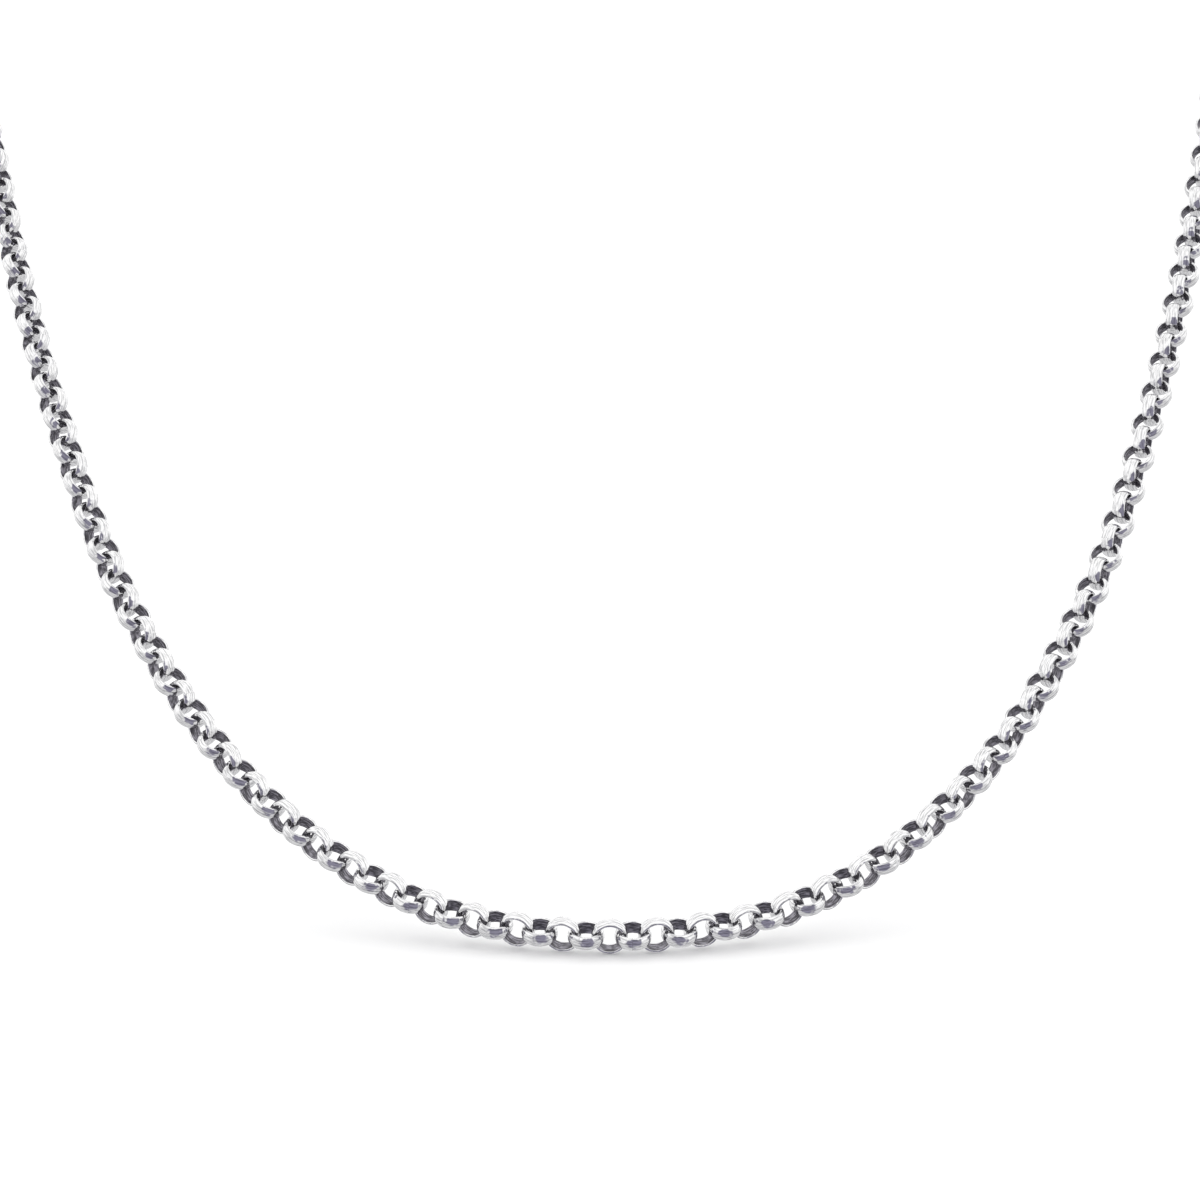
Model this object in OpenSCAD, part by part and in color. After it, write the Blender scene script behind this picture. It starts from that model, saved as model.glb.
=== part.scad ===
// Rolo chain necklace of 50 cm. Round links of half-round wire hold one another, each
// turned a quarter against the next, and a bolt ring at the nape closes the loop.
// It keeps the form that it has round a neck. The front faces -Y, +Z is up, and the
// origin is the middle of the opening for the neck.

/* [Links] */
// Outside diameter of a link
link_d = 3.35; // [3:0.05:3.8]
// Width of the half-round wire, across its flat inner face
wire_w = 1.25; // [0.9:0.05:1.3]
// Thickness of the wire at the crown of its dome
wire_t = 0.38; // [0.3:0.01:0.45]
// Width of the bevel that eases the two inner edges of the wire
bevel_w = 0.13; // [0.08:0.01:0.16]
// Height of that bevel, below the foot of the dome
bevel_h = 0.08; // [0.06:0.01:0.12]
// Turn of a link about the chain, to either side of lying flat
link_turn = 45; // [42:1:48]
// Play between a link and the next one when the chain is pulled straight
play = 0.26; // [0.24:0.01:0.32]
// Roll of the loosest links about the chain
roll_max = 2; // [0:0.5:3]
// Nod of the loosest links out of the line of the chain
nod_max = 1; // [0:0.5:2]
// Slide of the whole chain round the loop, away from a link at the very middle of the front
slide = 0.4; // [0:0.1:1]

/* [Clasp] */
// Outside diameter of the bolt ring
clasp_d = 6.4; // [6:0.2:8]
// Thickness of the tube that the bolt ring is bent from
tube_d = 1.5; // [1.2:0.1:1.7]
// Thickness of the bolt that closes its mouth
bolt_d = 1; // [0.8:0.1:1.1]
// Width of the mouth, as an angle of the ring
mouth_angle = 50; // [40:5:70]
// Outside diameter of the eye that is soldered to the ring
eye_d = 3; // [2.8:0.1:3.4]
// Thickness of the eye's wire
eye_wire_d = 0.7; // [0.5:0.1:0.7]
// Depth that the eye and the thumb stud reach into the tube
solder_depth = 0.35; // [0.3:0.05:0.5]
// Diameter of the thumb stud
stud_d = 0.7; // [0.5:0.1:0.9]
// Height that the thumb stud stands out of the tube
stud_h = 0.9; // [0.6:0.1:1.2]

/* [Jump rings] */
// Outside diameter of the two round rings that join the clasp and the chain
jump_d = 4.4; // [4.2:0.1:5]
// Thickness of their wire
jump_wire_d = 0.8; // [0.6:0.1:0.8]
// Turn of the jump rings about the chain
jump_turn = 64; // [62:0.5:68]

/* [Hidden] */
$fn = 48;

// Half of the loop, from the middle of the front to the nape: x, y and z in mm, and how far
// the chain's outer face leans outwards there, as an angle from facing straight up, first
// where the loop runs at +x and then where it runs at -x. The chain has turned about itself
// a little differently on its two sides.
half_loop = [
    [0, -65, -59, 60, 60],
    [18.5, -60, -57, 58, 58],
    [34.5, -50.5, -48, 52, 51],
    [47, -36, -34, 46, 36],
    [56, -19.5, -17, 42, 14],
    [63.5, -0.5, 1, 40, 8],
    [68.5, 15.5, 19, 41, 11],
    [67.5, 32, 36.5, 46, 24],
    [54.5, 50.5, 49.5, 54, 42],
    [30, 62, 56.5, 62, 58],
    [0, 65, 58.5, 65, 65]
];
last = len(half_loop) - 1;
loop = concat(
    [for (p = half_loop) [p[0], p[1], p[2], p[3]]],
    [for (i = [last - 1 : -1 : 1]) let (p = half_loop[i]) [-p[0], p[1], p[2], p[4]]]
);

// The loop as one smooth closed curve: u counts its points, the front is 0
function corner_at(i) = loop[(i + len(loop)) % len(loop)];
function curve(u) =
    let (i = floor(u), f = u - i,
         a = corner_at(i - 1), b = corner_at(i), c = corner_at(i + 1), d = corner_at(i + 2))
    b + (c - a) * f / 2
      + (2 * a - 5 * b + 4 * c - d) * pow(f, 2) / 2
      + (3 * b - a - 3 * c + d) * pow(f, 3) / 2;
function xyz(v) = [v[0], v[1], v[2]];
function unit(v) = v / norm(v);

// Length along the curve at every small step of u, to place things by their distance
steps = 16;
function step_length(i) = norm(xyz(curve((i + 1) / steps)) - xyz(curve(i / steps)));
lengths = [
    for (i = 0, s = 0; i <= len(loop) * steps; s = s + step_length(i), i = i + 1) [s, i / steps]
];
loop_length = lengths[len(lengths) - 1][0];
function u_at(s) = lookup(s < 0 ? s + loop_length : s, lengths);

// A frame on the chain at the distance s from the front: x runs along the chain, y to the
// inside of the loop and z away from the skin
function frame(s) =
    let (u = u_at(s), v = curve(u), p = xyz(v),
         t = unit(xyz(curve(u + 0.01)) - xyz(curve(u - 0.01))),
         side = unit(cross(t, [0, 0, 1])),
         n = side * sin(v[3]) + cross(side, t) * cos(v[3]),
         b = cross(n, t))
    [[t[0], b[0], n[0], p[0]],
     [t[1], b[1], n[1], p[1]],
     [t[2], b[2], n[2], p[2]],
     [0, 0, 0, 1]];

// Inner radii, and the half width of the flat that bears inside a link
link_in = link_d / 2 - wire_t;
jump_in = jump_d / 2 - jump_wire_d;
eye_in = eye_d / 2 - eye_wire_d;
clasp_in = clasp_d / 2 - tube_d;
flat = wire_w / 2 - bevel_w;

// Distance between the middles of two things that hold each other, with the play
function hold(r1, flat1, r2, flat2) =
    sqrt(pow(r1, 2) - pow(flat2, 2)) + sqrt(pow(r2, 2) - pow(flat1, 2)) - play;
link_pitch_max = hold(link_in, flat, link_in, flat);
link_to_ring = hold(link_in, flat, jump_in, 0);
ring_to_eye = hold(jump_in, 0, eye_in, 0);
eye_to_clasp = (eye_d + clasp_d) / 2 - solder_depth;
clasp_to_ring = hold(clasp_in, 0, jump_in, 0);
closure = link_to_ring + ring_to_eye + eye_to_clasp + clasp_to_ring + link_to_ring;

// The links are numbered from the middle of the front, as many to either side
half_links = ceil((loop_length - closure) / 2 / link_pitch_max);
link_pitch = (loop_length - closure) / 2 / half_links;
clasp_ring_s = half_links * link_pitch + link_to_ring;
clasp_s = clasp_ring_s + ring_to_eye + eye_to_clasp;
end_ring_s = clasp_s + clasp_to_ring;

// The jump rings cross the last links, whose turn depends on their number
jump_side = half_links % 2 == 0 ? -1 : 1;

// How far a link's number lets it stray from its even place, from -1 to 1
golden_angle = 137.5;
function stray(i) = sin(i * golden_angle);

// Radius of the dome, which is as wide as the wire where the bevels end
dome_h = wire_t - bevel_h;
crown_r = (pow(wire_w / 2, 2) + pow(dome_h, 2)) / 2 / dome_h;

// Section of the wire: flat inside with bevelled edges, domed outside
module wire_section() {
    intersection() {
        translate([link_d / 2 - crown_r, 0]) rotate(180) circle(r = crown_r);
        polygon([
            [link_in, -flat], [link_in + bevel_h, -wire_w / 2],
            [link_d, -wire_w / 2], [link_d, wire_w / 2],
            [link_in + bevel_h, wire_w / 2], [link_in, flat]
        ]);
    }
}

module link() {
    rotate_extrude() wire_section();
}

// A ring of round wire, by its outside diameter
module round_ring(d, wire_d, angle = 360) {
    rotate_extrude(angle = angle) translate([(d - wire_d) / 2, 0]) circle(d = wire_d);
}

module place(s) {
    multmatrix(frame(s - slide)) children();
}

module chain() {
    color([0.8, 0.8, 0.82])
    for (i = [-half_links : half_links])
        place(i * link_pitch)
        rotate([(i % 2 == 0 ? link_turn : -link_turn) + roll_max * stray(i), nod_max * stray(i + 0.5), 0])
        link();
}

module clasp() {
    color([0.78, 0.78, 0.8])
    place(clasp_s) {
        rotate([0, 0, mouth_angle]) round_ring(clasp_d, tube_d, 360 - mouth_angle);
        round_ring(clasp_d - tube_d + bolt_d, bolt_d);
        translate([-eye_to_clasp, 0, 0]) round_ring(eye_d, eye_wire_d);
        translate([0, clasp_d / 2 - solder_depth, 0])
        rotate([-90, 0, 0]) cylinder(d = stud_d, h = stud_h + solder_depth);
    }
}

module clasp_ring() {
    color([0.8, 0.8, 0.82])
    place(clasp_ring_s) rotate([jump_side * jump_turn, 0, 0]) round_ring(jump_d, jump_wire_d);
}

module end_ring() {
    color([0.8, 0.8, 0.82])
    place(end_ring_s) rotate([jump_side * jump_turn, 0, 0]) round_ring(jump_d, jump_wire_d);
}

chain();
clasp();
clasp_ring();
end_ring();
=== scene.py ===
import math

import bpy
import numpy as np
from mathutils import Matrix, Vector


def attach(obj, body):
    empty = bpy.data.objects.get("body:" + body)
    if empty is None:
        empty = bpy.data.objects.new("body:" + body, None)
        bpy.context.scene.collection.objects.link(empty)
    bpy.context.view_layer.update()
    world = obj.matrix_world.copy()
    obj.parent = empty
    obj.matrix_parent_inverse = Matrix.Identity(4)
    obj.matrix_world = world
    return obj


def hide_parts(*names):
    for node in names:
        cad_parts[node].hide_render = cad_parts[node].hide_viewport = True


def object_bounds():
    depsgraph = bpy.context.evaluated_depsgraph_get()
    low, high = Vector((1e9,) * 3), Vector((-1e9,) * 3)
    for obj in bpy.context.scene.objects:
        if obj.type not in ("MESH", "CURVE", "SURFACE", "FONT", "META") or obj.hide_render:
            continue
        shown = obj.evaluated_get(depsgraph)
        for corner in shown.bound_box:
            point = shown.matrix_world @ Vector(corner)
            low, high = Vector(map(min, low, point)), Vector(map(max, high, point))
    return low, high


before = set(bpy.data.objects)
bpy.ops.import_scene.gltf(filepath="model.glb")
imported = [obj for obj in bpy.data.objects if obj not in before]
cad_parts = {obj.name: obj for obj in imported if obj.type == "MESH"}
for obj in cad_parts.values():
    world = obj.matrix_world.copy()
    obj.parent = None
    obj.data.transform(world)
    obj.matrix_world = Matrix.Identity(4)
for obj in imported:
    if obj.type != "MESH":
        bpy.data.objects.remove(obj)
cad_box = [list(corner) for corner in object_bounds()]

# The links. Each is half-round silver wire, flat inside and domed outside, bent into a
# round ring through the link before it, soldered shut and tumbled bright. The flats are
# painted dark: tarnished silver where polishing can't reach, with painted shade and
# painted reflection of the dark room.
MM = 0.001
INNER_ROUNDING = 0.08 * MM
SIDE_HEIGHT = 0.07 * MM
OUTER_ROUNDING = 0.09 * MM
ROUNDING_STEPS = 3
FLAT_SPLIT = 0.7
# How dark the end of the flat, its rounded edge and the short side are painted. On the short side this
# is a painted reflection: a dark line along the rim.
FLAT_END_DARKNESS = 0.8
EDGE_DARKNESS = 0.2
SIDE_PAINTED_REFLECTION = 0.5
LINK_STEPS = 48
DOME_STEPS = 5
LINKS_IN_A_PIECE = 58
OUT_OF_ROUND = 0.006 * MM
LEAST_UNEVEN = 0.3
BENDS_IN_A_LINK = (2, 3, 5)
UNEVEN_WIRE = 0.02
WIDTH_SHARE = 0.5
LINK_SEED = 11
SAME_PLACE = 0.0005 * MM


def places_of(mesh):
    """The places of a mesh's vertices, each once, and the number of its place for each vertex."""
    corners = np.empty(3 * len(mesh.vertices))
    mesh.vertices.foreach_get("co", corners)
    corners = corners.reshape(-1, 3)
    _, first, number = np.unique(
        np.round(corners / SAME_PLACE).astype(np.int64), axis=0, return_index=True, return_inverse=True
    )
    return corners[first], number.ravel()


def loose_parts(mesh):
    """The places of the vertices of each loose part of a mesh."""
    places, number = places_of(mesh)
    ends = np.empty(2 * len(mesh.edges), dtype=np.int32)
    mesh.edges.foreach_get("vertices", ends)
    a, b = number[ends.reshape(-1, 2)].T
    part = np.arange(len(places))
    while True:
        lowest = np.minimum(part[a], part[b])
        joined = part.copy()
        np.minimum.at(joined, a, lowest)
        np.minimum.at(joined, b, lowest)
        joined = joined[joined]
        if (joined == part).all():
            return [places[part == number] for number in np.unique(part)]
        part = joined


def unit(vector):
    return vector / np.linalg.norm(vector)


def thin_way(places):
    """The direction in which a flat round part is thinnest."""
    _, directions = np.linalg.eigh(np.cov((places - places.mean(axis=0)).T))
    return directions[:, 0]


def axes_at(centre, through, along):
    """A 4 x 4 matrix at the centre, with z through the hole and x along the chain."""
    z = unit(through if through @ centre >= 0 else -through)
    x = unit(along - z * (along @ z))
    matrix = np.eye(4)
    matrix[:3, :4] = np.stack([x, np.cross(z, x), z, centre], axis=1)
    return matrix


def measured_ring(places):
    """The inner and outer radius and the width of a ring, from the places of its vertices."""
    centre = places.mean(axis=0)
    through = thin_way(places)
    height = (places - centre) @ through
    radius = np.linalg.norm(places - centre - np.outer(height, through), axis=1)
    return radius.min(), radius.max(), np.ptp(height)


def round_the_loop(places):
    """How far round the loop a part lies, from -pi to pi, with 0 at the middle of the front."""
    x, y, _ = places.mean(axis=0)
    return math.atan2(x, -y)


packed_links = sorted(loose_parts(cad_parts["chain"].data), key=round_the_loop)
link_centres = np.array([places.mean(axis=0) for places in packed_links])
link_in, link_out, wire_width = measured_ring(packed_links[0])
link_places = [
    axes_at(centre, thin_way(places), along)
    for centre, places, along in zip(link_centres, packed_links, np.gradient(link_centres, axis=0))
]


def half_round_section():
    """Half of the wire's section as (distance from the link's middle, height), from the middle of
    the flat over the rounded edge and the short side to the crown. The second result says how
    dark each point is painted, from 0 to 1: tarnished silver with painted shade and painted
    reflection on the flat, and a painted reflection line on the short side."""
    side = wire_width / 2
    inner_out, inner_up = link_in + INNER_ROUNDING, side - INNER_ROUNDING
    outer_out, outer_up = inner_out + SIDE_HEIGHT, side - OUTER_ROUNDING
    crown_out = link_out - OUTER_ROUNDING
    dome_centre = (crown_out**2 - outer_out**2 - outer_up**2) / 2 / (crown_out - outer_out)
    dome_radius = link_out - dome_centre
    opening = math.atan2(outer_up, outer_out - dome_centre)
    points = [[link_in, 0], [link_in, FLAT_SPLIT * inner_up]]
    dark = [1, 1]
    for turn in np.linspace(math.pi, math.pi / 2, ROUNDING_STEPS + 1):
        out = inner_out + INNER_ROUNDING * math.cos(turn)
        points.append([out, inner_up + INNER_ROUNDING * math.sin(turn)])
        dark.append(FLAT_END_DARKNESS if turn == math.pi else EDGE_DARKNESS)
    for turn in np.linspace(math.pi / 2, opening, ROUNDING_STEPS + 1):
        out = outer_out + OUTER_ROUNDING * math.cos(turn)
        points.append([out, outer_up + OUTER_ROUNDING * math.sin(turn)])
        dark.append(SIDE_PAINTED_REFLECTION if turn == math.pi / 2 else 0)
    for turn in np.linspace(opening, 0, DOME_STEPS + 1)[1:]:
        points.append([dome_centre + dome_radius * math.cos(turn), dome_radius * math.sin(turn)])
        dark.append(0)
    return np.array(points), np.array(dark)


def ring_faces(rings, points):
    """Four-sided faces of a closed ring of closed sections, as numbers of its vertices."""
    i, j = np.meshgrid(np.arange(rings), np.arange(points), indexing="ij")
    next_i, next_j = (i + 1) % rings, (j + 1) % points
    corners = [i * points + j, next_i * points + j, next_i * points + next_j, i * points + next_j]
    return np.stack(corners, axis=-1).reshape(-1, 4)


def ring_map(rings, points, length, girth):
    """The place of each face corner along and across the wire, in millimetres."""
    i, j = np.meshgrid(np.arange(rings), np.arange(points), indexing="ij")
    along = np.stack([i, i + 1, i + 1, i], axis=-1) * length / rings
    across = np.concatenate([girth, [girth[-1] + girth[1]]])[np.stack([j, j, j + 1, j + 1], axis=-1)]
    return np.stack([along, across], axis=-1).reshape(-1, 2) / MM


def mesh_piece(name, corners, faces, wire_map, values, material):
    """A smooth mesh object on the root body. wire_map gives the place of each face corner on the
    wire, and values the named number of each vertex."""
    mesh = bpy.data.meshes.new(name)
    mesh.from_pydata(corners, [], faces)
    mesh.uv_layers.new(name="wire").uv.foreach_set("vector", wire_map.ravel().astype(np.float32))
    for key, numbers in values.items():
        mesh.attributes.new(key, "FLOAT", "POINT").data.foreach_set("value", numbers.astype(np.float32))
    mesh.shade_smooth()
    mesh.materials.append(material)
    mesh.validate()
    made = bpy.data.objects.new(name, mesh)
    bpy.context.scene.collection.objects.link(made)
    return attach(made, "root")


def shader_node(tree, kind, inputs=None, **settings):
    """A new node. Each input is a plain value, or another node's output to link."""
    made = tree.nodes.new(kind)
    for key, value in settings.items():
        setattr(made, key, value)
    for key, value in (inputs or {}).items():
        if isinstance(value, bpy.types.NodeSocket):
            tree.links.new(value, made.inputs[key])
        else:
            made.inputs[key].default_value = value
    return made


def shader_group(name, inputs, outputs):
    """A new node group with named inputs {name: (kind, value)} and outputs {name: kind}."""
    tree = bpy.data.node_groups.new(name, "ShaderNodeTree")
    for key, (kind, value) in inputs.items():
        made = tree.interface.new_socket(name=key, in_out="INPUT", socket_type=kind)
        if value is not None:
            made.default_value = value
    for key, kind in outputs.items():
        tree.interface.new_socket(name=key, in_out="OUTPUT", socket_type=kind)
    return tree, tree.nodes.new("NodeGroupInput").outputs, tree.nodes.new("NodeGroupOutput")


LONG_SCRATCHES_ALONG = 1.5
LONG_SCRATCHES_ACROSS = 30.0
CROSS_SCRATCH_TURN = math.radians(63)
CROSS_SCRATCH_STRETCH = (22.0, 1.1, 1.0)
CROSS_SCRATCH_FROM = 0.6
CROSS_SCRATCH_FULL = 0.75
CROSS_SCRATCH_SHARE = 0.5
STREAK_STRETCH = (1.0, 6.0, 1.0)
WAVES_PER_MM = 1.7


def fine_scratches():
    """Fine scratches of tumbling and wear: long ones along the wire, and a few across it, then
    the broad streaks that the wire was drawn with, and the slow waves of its surface."""
    tree, given, out = shader_group(
        "fine_scratches",
        {
            "Place": ("NodeSocketVector", None),
            "Along": ("NodeSocketFloat", LONG_SCRATCHES_ALONG),
            "Across": ("NodeSocketFloat", LONG_SCRATCHES_ACROSS),
        },
        {"Scratches": "NodeSocketFloat", "Streaks": "NodeSocketFloat", "Waves": "NodeSocketFloat"},
    )
    stretch = shader_node(
        tree, "ShaderNodeCombineXYZ", {"X": given["Along"], "Y": given["Across"], "Z": 1.0}
    )
    long_place = shader_node(
        tree, "ShaderNodeVectorMath", {0: given["Place"], 1: stretch.outputs[0]}, operation="MULTIPLY"
    )
    long_noise = shader_node(
        tree,
        "ShaderNodeTexNoise",
        {"Vector": long_place.outputs[0], "Scale": 1.0, "Detail": 4.0, "Roughness": 0.7},
    )
    turned = shader_node(
        tree,
        "ShaderNodeMapping",
        {
            "Vector": given["Place"],
            "Rotation": (0, 0, CROSS_SCRATCH_TURN),
            "Scale": CROSS_SCRATCH_STRETCH,
        },
    )
    cross_noise = shader_node(
        tree,
        "ShaderNodeTexNoise",
        {"Vector": turned.outputs[0], "Scale": 1.0, "Detail": 3.0, "Roughness": 0.6},
    )
    cross = shader_node(
        tree,
        "ShaderNodeMapRange",
        {
            "Value": cross_noise.outputs[0],
            "From Min": CROSS_SCRATCH_FROM,
            "From Max": CROSS_SCRATCH_FULL,
        },
    )
    both = shader_node(
        tree,
        "ShaderNodeMath",
        {0: cross.outputs[0], 1: CROSS_SCRATCH_SHARE, 2: long_noise.outputs[0]},
        operation="MULTIPLY_ADD",
    )
    tree.links.new(both.outputs[0], out.inputs["Scratches"])
    drawn = shader_node(
        tree, "ShaderNodeMapping", {"Vector": given["Place"], "Scale": STREAK_STRETCH}
    )
    streaks = shader_node(
        tree, "ShaderNodeTexNoise", {"Vector": drawn.outputs[0], "Scale": 1.0, "Detail": 2.0}
    )
    tree.links.new(streaks.outputs[0], out.inputs["Streaks"])
    waves = shader_node(
        tree, "ShaderNodeTexNoise", {"Vector": given["Place"], "Scale": WAVES_PER_MM, "Detail": 1.0}
    )
    tree.links.new(waves.outputs[0], out.inputs["Waves"])
    return tree


NOISE_MIDDLE = 0.5
# The patches and the ragged edge of the painted dark inside: tarnished silver with painted shade.
PATCHES_PER_M = 900.0
TARNISH_AND_SHADE_RAGGEDNESS = 0.5
TARNISH_AND_SHADE_FROM = 0.3
TARNISH_AND_SHADE_FULL = 0.8


def tarnish_and_painted_shade():
    """Where the inside is painted dark: tarnished silver with painted shade and painted reflection
    inside the rings, with a ragged edge where polishing wore the tarnishing off.
    """
    tree, given, out = shader_group(
        "tarnish_and_painted_shade",
        {
            "Inside": ("NodeSocketFloat", 0.0),
            "Place": ("NodeSocketVector", None),
            "Patches": ("NodeSocketFloat", PATCHES_PER_M),
            "Ragged": ("NodeSocketFloat", TARNISH_AND_SHADE_RAGGEDNESS),
        },
        {"Mask": "NodeSocketFloat", "Patchiness": "NodeSocketFloat"},
    )
    patches = shader_node(
        tree, "ShaderNodeTexNoise", {"Vector": given["Place"], "Scale": given["Patches"], "Detail": 3.0}
    )
    off = shader_node(
        tree, "ShaderNodeMath", {0: patches.outputs[0], 1: NOISE_MIDDLE}, operation="SUBTRACT"
    )
    ragged = shader_node(
        tree,
        "ShaderNodeMath",
        {0: off.outputs[0], 1: given["Ragged"], 2: given["Inside"]},
        operation="MULTIPLY_ADD",
    )
    mask = shader_node(
        tree,
        "ShaderNodeMapRange",
        {"Value": ragged.outputs[0], "From Min": TARNISH_AND_SHADE_FROM, "From Max": TARNISH_AND_SHADE_FULL},
        interpolation_type="SMOOTHSTEP",
    )
    tree.links.new(mask.outputs[0], out.inputs["Mask"])
    tree.links.new(patches.outputs[0], out.inputs["Patchiness"])
    return tree


JOINT_WIDTH_MM = 0.05
JOINT_RAGGED_PER_MM = 6.0


def joint_line():
    """The fine line of the solder joint or the cut, where the wire's two ends meet."""
    tree, given, out = shader_group(
        "joint_line",
        {
            "Place": ("NodeSocketVector", None),
            "Length": ("NodeSocketFloat", 1.0),
            "Width": ("NodeSocketFloat", JOINT_WIDTH_MM),
        },
        {"Line": "NodeSocketFloat"},
    )
    along = shader_node(tree, "ShaderNodeSeparateXYZ", {0: given["Place"]}).outputs["X"]
    ragged = shader_node(
        tree,
        "ShaderNodeTexNoise",
        {"Vector": given["Place"], "Scale": JOINT_RAGGED_PER_MM, "Detail": 1.0},
    )
    other_end = shader_node(
        tree, "ShaderNodeMath", {0: given["Length"], 1: along}, operation="SUBTRACT"
    )
    nearest = shader_node(
        tree, "ShaderNodeMath", {0: along, 1: other_end.outputs[0]}, operation="MINIMUM"
    )
    width = shader_node(
        tree, "ShaderNodeMath", {0: given["Width"], 1: ragged.outputs[0]}, operation="MULTIPLY"
    )
    line = shader_node(
        tree,
        "ShaderNodeMapRange",
        {
            "Value": nearest.outputs[0],
            "From Min": 0.0,
            "From Max": width.outputs[0],
            "To Min": 1.0,
            "To Max": 0.0,
        },
    )
    tree.links.new(line.outputs[0], out.inputs["Line"])
    return tree


FINE_SCRATCHES = fine_scratches()
TARNISH_AND_PAINTED_SHADE = tarnish_and_painted_shade()
JOINT_LINE = joint_line()


JOINT_SHADE = 0.6
STREAK_FROM = 0.46
STREAK_FULL = 0.62
WORN_LIGHTER = 3.4
MIRROR_FROM = 0.3
DULL_FULL = 0.9
MIRROR_ROUGHNESS = 0.07
TARNISH_AND_SHADE_ROUGHNESS = 0.42
WAVE_DEPTH = 0.12 * MM
SCRATCH_DEPTH = 0.0006 * MM
MIX_FIRST = 6
MIX_SECOND = 7
MIX_RESULT = 2


def mixed_colour(tree, share, first, second):
    """One colour mixed with another by this share. Each is a plain colour, or an output to link."""
    inputs = {"Factor": share}
    for socket, colour in ((MIX_FIRST, first), (MIX_SECOND, second)):
        inputs[socket] = colour if isinstance(colour, bpy.types.NodeSocket) else (*colour, 1)
    return shader_node(tree, "ShaderNodeMix", inputs, data_type="RGBA").outputs[MIX_RESULT]


def polished_silver(name, bright, cool, dark, length, dullest=0.2, streak=0.6):
    """Polished silver with two bright tones, a dark inside of tarnished silver with painted shade and
    painted reflection, scratches and the wire's joint.
    length is the wire's length in millimetres, dullest the roughness where it is scratched most,
    and streak how bright its drawing streaks are."""
    made = bpy.data.materials.new(name)
    made.use_nodes = True
    tree = made.node_tree
    shader = tree.nodes["Principled BSDF"]
    place = shader_node(tree, "ShaderNodeTexCoord").outputs["Object"]
    on_wire = shader_node(tree, "ShaderNodeUVMap", uv_map="wire").outputs[0]
    # How dark each point is painted: tarnished silver with painted shade and painted reflection.
    inside = shader_node(tree, "ShaderNodeAttribute", attribute_name="inside").outputs["Fac"]
    tarnish_and_shade = shader_node(tree, "ShaderNodeGroup", node_tree=TARNISH_AND_PAINTED_SHADE)
    scratches = shader_node(tree, "ShaderNodeGroup", node_tree=FINE_SCRATCHES)
    joint = shader_node(tree, "ShaderNodeGroup", node_tree=JOINT_LINE)
    tree.links.new(inside, tarnish_and_shade.inputs["Inside"])
    tree.links.new(place, tarnish_and_shade.inputs["Place"])
    tree.links.new(on_wire, scratches.inputs["Place"])
    tree.links.new(on_wire, joint.inputs["Place"])
    joint.inputs["Length"].default_value = length

    tones = mixed_colour(tree, tarnish_and_shade.outputs["Patchiness"], bright, cool)
    joined = mixed_colour(tree, joint.outputs["Line"], tones, [JOINT_SHADE * c for c in bright])
    streaks = shader_node(
        tree,
        "ShaderNodeMapRange",
        {"Value": scratches.outputs["Streaks"], "From Min": STREAK_FROM, "From Max": STREAK_FULL},
    ).outputs[0]
    streaked = mixed_colour(tree, streaks, joined, [streak * c for c in cool])
    # The dark inside: tarnished silver with painted shade and painted reflection, lighter along the
    # drawing streaks.
    tarnish_and_shade_streaked = mixed_colour(tree, streaks, dark, [WORN_LIGHTER * c for c in dark])
    colour = mixed_colour(tree, tarnish_and_shade.outputs["Mask"], streaked, tarnish_and_shade_streaked)
    tree.links.new(colour, shader.inputs["Base Color"])
    shader.inputs["Metallic"].default_value = 1.0

    polish = shader_node(
        tree,
        "ShaderNodeMapRange",
        {
            "Value": scratches.outputs["Scratches"],
            "From Min": MIRROR_FROM,
            "From Max": DULL_FULL,
            "To Min": MIRROR_ROUGHNESS,
            "To Max": dullest,
        },
    )
    rough = shader_node(
        tree,
        "ShaderNodeMath",
        {0: tarnish_and_shade.outputs["Mask"], 1: TARNISH_AND_SHADE_ROUGHNESS, 2: polish.outputs[0]},
        operation="MULTIPLY_ADD",
    )
    tree.links.new(rough.outputs[0], shader.inputs["Roughness"])

    waves = shader_node(
        tree,
        "ShaderNodeBump",
        {"Height": scratches.outputs["Waves"], "Distance": WAVE_DEPTH, "Strength": 1.0},
    )
    bump = shader_node(
        tree,
        "ShaderNodeBump",
        {
            "Height": scratches.outputs["Scratches"],
            "Distance": SCRATCH_DEPTH,
            "Normal": waves.outputs[0],
        },
    )
    tree.links.new(bump.outputs[0], shader.inputs["Normal"])
    return made


def anywhere_round(random):
    """A random angle of the whole turn."""
    return random.uniform(0, 2 * math.pi)


def uneven_link(section, random):
    """The vertices of one link, a little out of round and of slightly uneven wire, as work with
    pliers leaves it. The section's points go round the wire, and the rings round the link."""
    turn = np.arange(LINK_STEPS) * 2 * math.pi / LINK_STEPS
    radial = sum(
        OUT_OF_ROUND * random.uniform(LEAST_UNEVEN, 1) * np.cos(order * turn + anywhere_round(random))
        for order in BENDS_IN_A_LINK
    )
    thickness = 1 + UNEVEN_WIRE * random.uniform(-1, 1) * np.cos(2 * turn + anywhere_round(random))
    lean = OUT_OF_ROUND * random.uniform(0, 1) * np.cos(2 * turn + anywhere_round(random))
    radius = link_in + radial[:, None] + (section[:, 0] - link_in) * thickness[:, None]
    height = section[:, 1] * (1 + WIDTH_SHARE * (thickness[:, None] - 1)) + lean[:, None]
    x, y = radius * np.cos(turn)[:, None], radius * np.sin(turn)[:, None]
    return np.stack([x, y, height], axis=-1).reshape(-1, 3)


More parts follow.
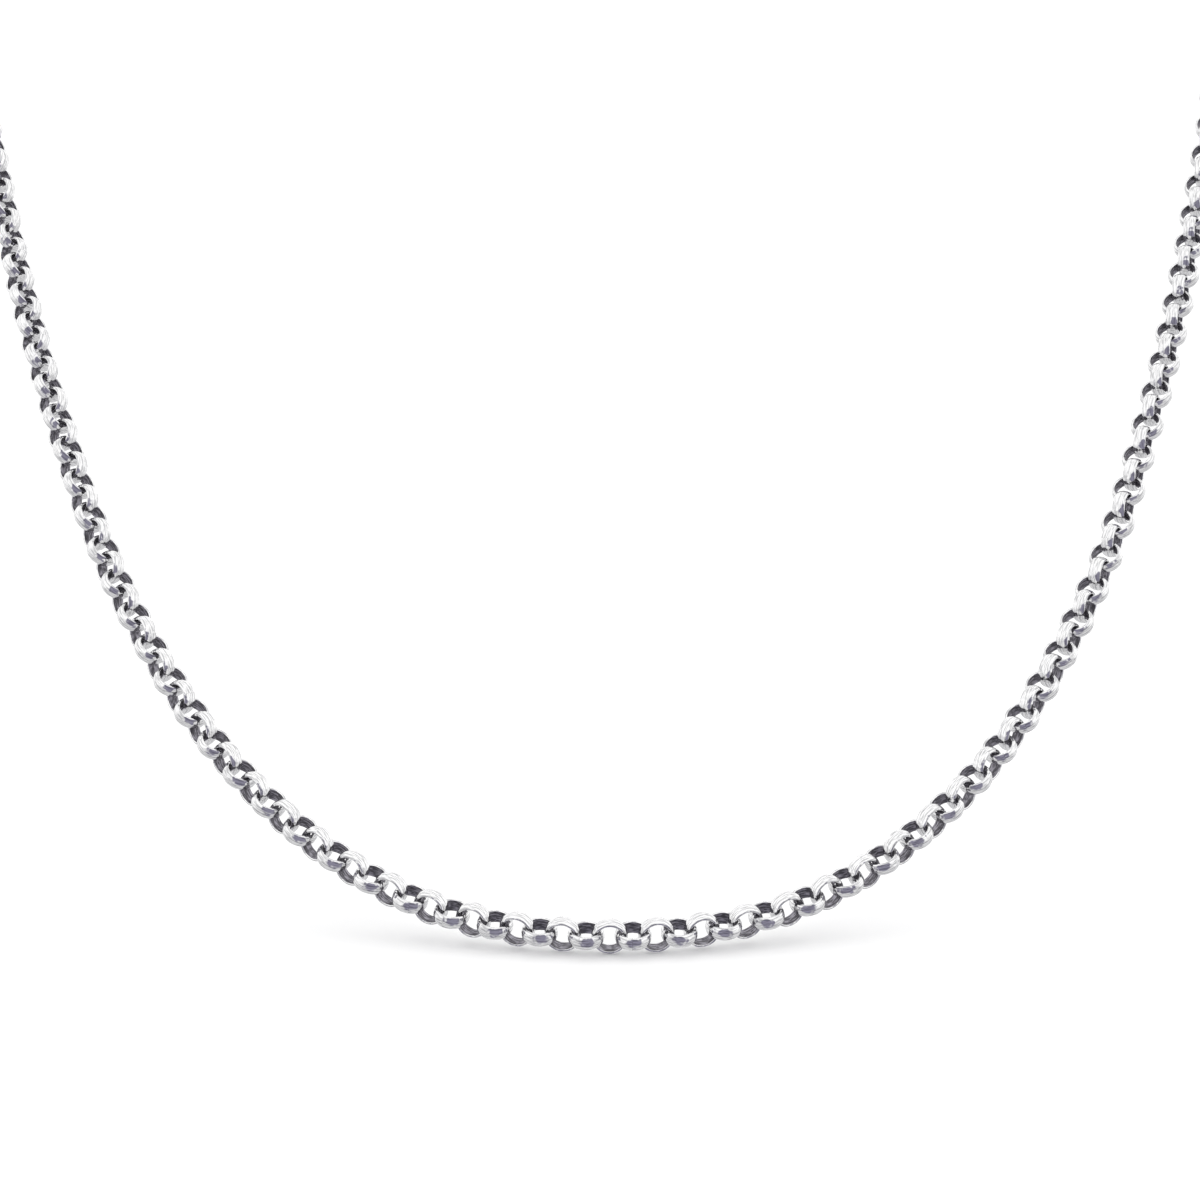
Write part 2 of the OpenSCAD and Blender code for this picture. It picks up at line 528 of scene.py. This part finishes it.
half_section, half_tarnish_and_shade = half_round_section()
wire_section = np.concatenate([half_section * [1, -1], half_section[-2:0:-1]])
wire_tarnish_and_shade = np.concatenate([half_tarnish_and_shade, half_tarnish_and_shade[-2:0:-1]])
wire_steps = np.linalg.norm(np.diff(wire_section, axis=0), axis=1)
wire_girth = np.concatenate([[0], np.cumsum(wire_steps)])
link_length = math.pi * (link_in + link_out)

# The links' dark colour is tarnished silver with painted shade and painted reflection.
link_silver = polished_silver(
    "polished_silver_links",
    bright=(0.88, 0.875, 0.865),
    cool=(0.83, 0.83, 0.845),
    dark=(0.135, 0.130, 0.145),
    length=link_length / MM,
)


def links_piece(name, places, random):
    """Links at these places, as one mesh."""
    corners, faces, wire_map = [], [], []
    one_ring = ring_faces(LINK_STEPS, len(wire_section))
    one_map = ring_map(LINK_STEPS, len(wire_section), link_length, wire_girth)
    for number, place in enumerate(places):
        joint_angle = random.integers(LINK_STEPS) * 2 * math.pi / LINK_STEPS
        joint_turn = np.array(Matrix.Rotation(joint_angle, 4, "Z").to_3x3())
        vertices = uneven_link(wire_section, random) @ joint_turn.T
        corners.append(vertices @ place[:3, :3].T + place[:3, 3])
        faces.append(one_ring + number * len(vertices))
        wire_map.append(one_map)
    # How dark each point is painted, from the section: tarnished silver with painted shade and painted
    # reflection.
    inside = np.tile(wire_tarnish_and_shade, LINK_STEPS * len(places))
    made = mesh_piece(
        name,
        np.concatenate(corners),
        np.concatenate(faces).tolist(),
        np.concatenate(wire_map),
        {"inside": inside},
        link_silver,
    )
    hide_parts("chain")


link_random = np.random.default_rng(LINK_SEED)
for quarter, name in enumerate(
    ["links_right_nape", "links_right_front", "links_left_front", "links_left_nape"]
):
    first = quarter * LINKS_IN_A_PIECE
    links_piece(name, link_places[first : first + LINKS_IN_A_PIECE], link_random)

# The jump rings. Two rings of round silver wire, sawn from a coil and closed with pliers so
# that the cut shows as a fine line. They join the last links to the clasp.
JUMP_STEPS = 96
ROUND_STEPS = 24


def bent_wire(name, place, ring_radius, wire_radius, steps, material):
    """A closed ring of round wire, as a mesh piece at this place."""
    around = np.arange(ROUND_STEPS) * 2 * math.pi / ROUND_STEPS
    turn = np.arange(steps) * 2 * math.pi / steps
    radius = ring_radius + wire_radius * np.cos(around)
    height = np.broadcast_to(wire_radius * np.sin(around), (steps, ROUND_STEPS))
    x, y = np.outer(np.cos(turn), radius), np.outer(np.sin(turn), radius)
    vertices = np.stack([x, y, height], axis=-1)
    vertices = vertices.reshape(-1, 3) @ place[:3, :3].T + place[:3, 3]
    return mesh_piece(
        name,
        vertices,
        ring_faces(steps, ROUND_STEPS).tolist(),
        ring_map(steps, ROUND_STEPS, 2 * math.pi * ring_radius, wire_radius * around),
        {"inside": np.zeros(len(vertices))},
        material,
    )


for node in ("clasp_ring", "end_ring"):
    ring_points = places_of(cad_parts[node].data)[0]
    ring_in, ring_out, _ = measured_ring(ring_points)
    ring_radius = (ring_in + ring_out) / 2
    ring_silver = polished_silver(
        "polished_silver_" + node,
        bright=(0.79, 0.79, 0.785),
        cool=(0.71, 0.71, 0.73),
        dark=(0.50, 0.47, 0.49),
        length=2 * math.pi * ring_radius / MM,
        streak=0.82,
    )
    ring_place = axes_at(ring_points.mean(axis=0), thin_way(ring_points), np.array([1.0, 0, 0]))
    wire_radius = (ring_out - ring_in) / 2
    ring = bent_wire("closed_" + node, ring_place, ring_radius, wire_radius, JUMP_STEPS, ring_silver)
    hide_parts(node)

# The clasp. A bolt ring: a hollow silver tube bent round to an open mouth, which a sprung bolt
# inside it closes. The thumb piece stands out of a slot in the tube, and the eye is soldered on.
MOUTH_END = math.radians(50)
TUBE_WALL = 0.17 * MM
TUBE_STEPS = 124
TUBE_ROUND_STEPS = 32
SLOT_START = math.radians(84)
SLOT_END = math.radians(140)
SLOT_HALF_WIDTH = 0.24 * MM
BOLT_RADIUS = 0.5 * MM
BOLT_STEPS = 96
EYE_RADIUS = 1.15 * MM
EYE_WIRE_RADIUS = 0.35 * MM
EYE_STEPS = 64
EYE_DISTANCE = 4.35 * MM
SOLDER_RADIUS = 0.4 * MM
THUMB_NECK_RADIUS = 0.27 * MM
THUMB_BALL_RADIUS = 0.42 * MM
THUMB_HEIGHT = 0.9 * MM
THUMB_BALL_START = -0.85
SOLDER_START = -1.3
BALL_STEPS = 12
LATHE_STEPS = 24
LATHE_MAP_START = 5 * MM
CREST_SHARE = 0.98
# Past the far end of every wire of the clasp, so that no joint shows there.
LONGER_THAN_ITS_WIRE_MM = 1000


def clasp_axes(points):
    """The middle of the bolt ring, with x away from the eye, y towards the thumb piece and z
    through the ring, then the radius of the ring to the middle of its tube, and of the tube."""
    z = thin_way(points)
    inner = points.mean(axis=0)
    height = (points - inner) @ z
    height -= (height.max() + height.min()) / 2
    crest = points[np.abs(height) > CREST_SHARE * height.max()] - inner
    a = unit(np.cross(z, [1.0, 0, 0]))
    across = np.stack([a, np.cross(z, a)])
    flat = crest @ across.T
    circle = np.column_stack([2 * flat, np.ones(len(flat))])
    fitted, *_ = np.linalg.lstsq(circle, (flat**2).sum(axis=1), rcond=None)
    centre = inner + fitted[:2] @ across
    ring_radius = math.sqrt(fitted[2] + (fitted[:2] ** 2).sum())
    out = points - centre
    out -= np.outer(out @ z, z)
    far = np.linalg.norm(out, axis=1)
    x = unit(-out[far > far.max() - SAME_PLACE].mean(axis=0))
    y = np.cross(z, x)
    thumb = out[(far > ring_radius + height.max() + THUMB_HEIGHT / 2) & (out @ x > -ring_radius)]
    if (thumb @ y).mean() < 0:
        y, z = -y, -z
    place = np.eye(4)
    place[:3, :4] = np.stack([x, y, z, centre], axis=1)
    return place, ring_radius, height.max()


def moved(place, x, y, z, turn=None):
    """A place moved along its own axes, and turned by a matrix."""
    step = np.eye(4)
    step[:3, 3] = (x, y, z)
    if turn is not None:
        step[:3, :3] = turn
    return place @ step


def slotted_tube(ring_radius, tube_radius):
    """The vertices and faces of the hollow tube, from one side of the mouth round to the other,
    then for each vertex its place along and round the tube, and whether it lies inside."""
    turns = np.linspace(MOUTH_END, 2 * math.pi, TUBE_STEPS + 1)
    rounds = np.arange(TUBE_ROUND_STEPS) * 2 * math.pi / TUBE_ROUND_STEPS
    middle_turn = (turns[:-1] + turns[1:]) / 2
    middle_round = rounds + math.pi / TUBE_ROUND_STEPS
    on_slot = (middle_turn > SLOT_START) & (middle_turn < SLOT_END)
    off_crown = np.abs(tube_radius * np.sin(middle_round))
    near_crown = (off_crown < SLOT_HALF_WIDTH) & (np.cos(middle_round) > 0)
    kept = ~np.logical_and.outer(on_slot, near_crown)
    vertices, on_tube = [], []
    for radius in (tube_radius, tube_radius - TUBE_WALL):
        out = ring_radius + radius * np.cos(rounds)
        x, y = np.outer(np.cos(turns), out), np.outer(np.sin(turns), out)
        z = np.broadcast_to(radius * np.sin(rounds), x.shape)
        vertices.append(np.stack([x, y, z], axis=-1).reshape(-1, 3))
        along, across = np.meshgrid(turns * ring_radius, rounds * tube_radius, indexing="ij")
        on_tube.append(np.stack([along, across], axis=-1).reshape(-1, 2))
    skin = len(vertices[0])
    faces = []
    for i, j in np.argwhere(kept).tolist():
        next_j = (j + 1) % TUBE_ROUND_STEPS
        a, b = i * TUBE_ROUND_STEPS + j, (i + 1) * TUBE_ROUND_STEPS + j
        c, d = (i + 1) * TUBE_ROUND_STEPS + next_j, i * TUBE_ROUND_STEPS + next_j
        faces += [(a, b, c, d), (skin + d, skin + c, skin + b, skin + a)]
        bare_edges = (
            (i == 0 or not kept[i - 1, j], d, a),
            (i == TUBE_STEPS - 1 or not kept[i + 1, j], b, c),
            (not kept[i, j - 1], a, b),
            (not kept[i, next_j], c, d),
        )
        faces += [(end, start, skin + start, skin + end) for bare, start, end in bare_edges if bare]
    return np.concatenate(vertices), faces, np.concatenate(on_tube), np.repeat([0.0, 1.0], skin)


def lathe_turned(profile):
    """The vertices and faces of a piece turned about z, from (radius, height) points that start
    and end on the axis."""
    turn = np.arange(LATHE_STEPS) * 2 * math.pi / LATHE_STEPS
    rings = [
        np.stack([radius * np.cos(turn), radius * np.sin(turn), np.full(LATHE_STEPS, height)], axis=1)
        for radius, height in profile[1:-1]
    ]
    ends = [[0, 0, profile[0][1]], [0, 0, profile[-1][1]]]
    step = np.arange(LATHE_STEPS)
    after = (step + 1) % LATHE_STEPS
    top = (len(rings) - 1) * LATHE_STEPS
    faces = []
    for low in range(0, top, LATHE_STEPS):
        high = low + LATHE_STEPS
        faces += np.stack([low + step, low + after, high + after, high + step], axis=1).tolist()
    bottom_point, top_point = np.full((2, LATHE_STEPS), [[top + LATHE_STEPS], [top + LATHE_STEPS + 1]])
    faces += np.stack([after, step, bottom_point], axis=1).tolist()
    faces += np.stack([top + step, top + after, top_point], axis=1).tolist()
    return np.concatenate(rings + [ends]), faces


def ball_profile(radius, height, start):
    """The (radius, height) points of a ball that sits at this height, from an angle to its top."""
    angles = np.linspace(start, math.pi / 2, BALL_STEPS)
    return [(radius * math.cos(angle), height + radius * math.sin(angle)) for angle in angles]


clasp_points = places_of(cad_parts["clasp"].data)[0]
clasp_place, tube_ring_radius, tube_radius = clasp_axes(clasp_points)
# The inner wall of the tube is painted in the dark colour: tarnished silver with painted shade in the
# hollow.
clasp_silver = polished_silver(
    "polished_silver_clasp",
    bright=(0.78, 0.78, 0.775),
    cool=(0.70, 0.70, 0.72),
    dark=(0.34, 0.32, 0.33),
    length=LONGER_THAN_ITS_WIRE_MM,
    dullest=0.24,
    streak=0.88,
)


def clasp_piece(name, vertices, faces, on_wire, inside, place):
    """One silver piece of the clasp, at its place."""
    wire_map = on_wire[np.concatenate(faces)] / MM
    corners = vertices @ place[:3, :3].T + place[:3, 3]
    made = mesh_piece(name, corners, faces, wire_map, {"inside": inside}, clasp_silver)
    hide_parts("clasp")


clasp_piece("clasp_tube", *slotted_tube(tube_ring_radius, tube_radius), clasp_place)
for name, place, ring_radius, wire_radius, steps in (
    ("clasp_bolt", clasp_place, tube_ring_radius, BOLT_RADIUS, BOLT_STEPS),
    ("clasp_eye", moved(clasp_place, -EYE_DISTANCE, 0, 0), EYE_RADIUS, EYE_WIRE_RADIUS, EYE_STEPS),
):
    wire = bent_wire(name, place, ring_radius, wire_radius, steps, clasp_silver)
    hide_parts("clasp")

towards_thumb = np.array(Matrix.Rotation(-math.pi / 2, 3, "X"))
thumb_profile = [(0, 0), (THUMB_NECK_RADIUS, 0), (THUMB_NECK_RADIUS, tube_radius)]
ball_height = tube_radius + THUMB_HEIGHT - THUMB_BALL_RADIUS
thumb_profile += ball_profile(THUMB_BALL_RADIUS, ball_height, THUMB_BALL_START)
thumb_vertices, thumb_faces = lathe_turned(thumb_profile)
clasp_piece(
    "clasp_thumb_piece",
    thumb_vertices,
    thumb_faces,
    thumb_vertices[:, :2] + LATHE_MAP_START,
    np.zeros(len(thumb_vertices)),
    moved(clasp_place, 0, tube_ring_radius, 0, towards_thumb),
)
bead_profile = [(0, -SOLDER_RADIUS)] + ball_profile(SOLDER_RADIUS, 0, SOLDER_START)
bead_vertices, bead_faces = lathe_turned(bead_profile)
clasp_piece(
    "clasp_solder",
    bead_vertices,
    bead_faces,
    bead_vertices[:, :2] + LATHE_MAP_START,
    np.zeros(len(bead_vertices)),
    moved(clasp_place, -(tube_ring_radius + tube_radius), 0, 0),
)

# The floor. A wide, plain, matt floor just under the necklace, which is held up over it. It is
# the stage and no part of the necklace, and the silver doesn't mirror it.
FLOOR_SIZE = 30.0
FLOOR_GAP = 0.1 * MM
FLOOR_COLOUR = (0.96, 0.96, 0.96, 1)
FLOOR_ROUGHNESS = 0.9
floor_height = cad_box[0][2] - FLOOR_GAP
floor_mesh = bpy.data.meshes.new("floor")
half = FLOOR_SIZE / 2
square = ((-half, -half), (half, -half), (half, half), (-half, half))
floor_corners = [(x, y, floor_height) for x, y in square]
floor_mesh.from_pydata(floor_corners, [], [(0, 1, 2, 3)])
floor = bpy.data.objects.new("floor", floor_mesh)
bpy.context.scene.collection.objects.link(floor)
pale = bpy.data.materials.new("pale_floor")
pale.use_nodes = True
pale_shader = pale.node_tree.nodes["Principled BSDF"]
pale_shader.inputs["Base Color"].default_value = FLOOR_COLOUR
pale_shader.inputs["Roughness"].default_value = FLOOR_ROUGHNESS
pale_shader.inputs["Specular IOR Level"].default_value = 0.0
floor_mesh.materials.append(pale)
floor.visible_glossy = False

# The camera, at the photograph's distance and angle. It looks down a little on the front of
# the chain, and the strands leave the picture at both sides.
PIXEL = 0.09 * MM
PICTURE_WIDTH = 1200
DISTANCE = 3071 * PIXEL
LOOKING_DOWN = math.radians(11.6)
LOOKING_ASIDE = math.radians(1.17)
ROLL = math.radians(-0.23)
FRONT_ASIDE = 15.4 * PIXEL
FRONT_BELOW = 336 * PIXEL
SENSOR = 36.0
NEAREST_SEEN = 0.01
FARTHEST_SEEN = 20.0
FRONT = np.array([0, -65, -59]) * MM

forward = np.array([
    math.sin(LOOKING_ASIDE) * math.cos(LOOKING_DOWN),
    math.cos(LOOKING_ASIDE) * math.cos(LOOKING_DOWN),
    -math.sin(LOOKING_DOWN),
])
right = np.array([math.cos(LOOKING_ASIDE), -math.sin(LOOKING_ASIDE), 0])
up = np.cross(right, forward)
camera_data = bpy.data.cameras.new("camera")
camera_data.sensor_width = SENSOR
camera_data.lens = SENSOR * DISTANCE / (PICTURE_WIDTH * PIXEL)
camera_data.clip_start = NEAREST_SEEN
camera_data.clip_end = FARTHEST_SEEN
camera = bpy.data.objects.new("camera", camera_data)
bpy.context.scene.collection.objects.link(camera)
view = np.eye(4)
view[:3, 0] = right * math.cos(ROLL) - up * math.sin(ROLL)
view[:3, 1] = right * math.sin(ROLL) + up * math.cos(ROLL)
view[:3, 2] = -forward
view[:3, 3] = FRONT - right * FRONT_ASIDE + up * FRONT_BELOW - forward * DISTANCE
camera.matrix_world = Matrix(view.tolist())
bpy.context.scene.camera = camera

# The light. A white room all round, as in a soft light tent, greyer below. Its low front is open
# and dark, and the domes and the flats of the polished links mirror that.
ROOM_WHITE = (1.0, 1.0, 1.0)
ROOM_LOW = (0.62, 0.62, 0.63)
ROOM_DARK = (0.225, 0.216, 0.28)
ROOM_STRENGTH = 1.2
LOW_FROM = math.radians(-38)
WHITE_FROM = math.radians(6)
DARK_ASIDE = math.radians(4)
DARK_UP = math.radians(-18)
DARK_HALF_WIDTH = math.radians(47)
DARK_HALF_HEIGHT = math.radians(49)
DARK_TAPER = -0.35
DARK_CORE = 0.75
DARK_EDGE = 1.2

world = bpy.data.worlds.new("white_room")
world.use_nodes = True
bpy.context.scene.world = world
tree = world.node_tree
direction = shader_node(tree, "ShaderNodeTexCoord").outputs["Generated"]


def room_share(value, none, full):
    """How far a value has come from where there is none to where the share is full."""
    return shader_node(
        tree,
        "ShaderNodeMapRange",
        {"Value": value, "From Min": none, "From Max": full},
        interpolation_type="SMOOTHSTEP",
    ).outputs[0]


def room_number(operation, first, second=0.0, third=0.0):
    """A number worked out from one to three others."""
    made = shader_node(tree, "ShaderNodeMath", {0: first, 1: second, 2: third}, operation=operation)
    return made.outputs[0]


towards = shader_node(tree, "ShaderNodeSeparateXYZ", {0: direction}).outputs
room_up = room_number("ARCSINE", towards["Z"])
room_aside = room_number("ARCTAN2", towards["X"], room_number("MULTIPLY", towards["Y"], -1.0))
off_up = room_number("DIVIDE", room_number("SUBTRACT", room_up, DARK_UP), DARK_HALF_HEIGHT)
taper = room_number("MULTIPLY_ADD", off_up, DARK_TAPER, 1.0)
half_width = room_number("MULTIPLY", taper, DARK_HALF_WIDTH)
off_aside = room_number("DIVIDE", room_number("SUBTRACT", room_aside, DARK_ASIDE), half_width)
off_middle = shader_node(tree, "ShaderNodeCombineXYZ", {"X": off_aside, "Y": off_up})
off = shader_node(tree, "ShaderNodeVectorMath", {0: off_middle.outputs[0]}, operation="LENGTH")
off = off.outputs["Value"]
room = mixed_colour(tree, room_share(room_up, LOW_FROM, WHITE_FROM), ROOM_LOW, ROOM_WHITE)
room = mixed_colour(tree, room_share(off, DARK_EDGE, DARK_CORE), room, ROOM_DARK)
background = tree.nodes["Background"]
tree.links.new(room, background.inputs["Color"])
background.inputs["Strength"].default_value = ROOM_STRENGTH
bpy.context.scene.view_settings.view_transform = "Standard"
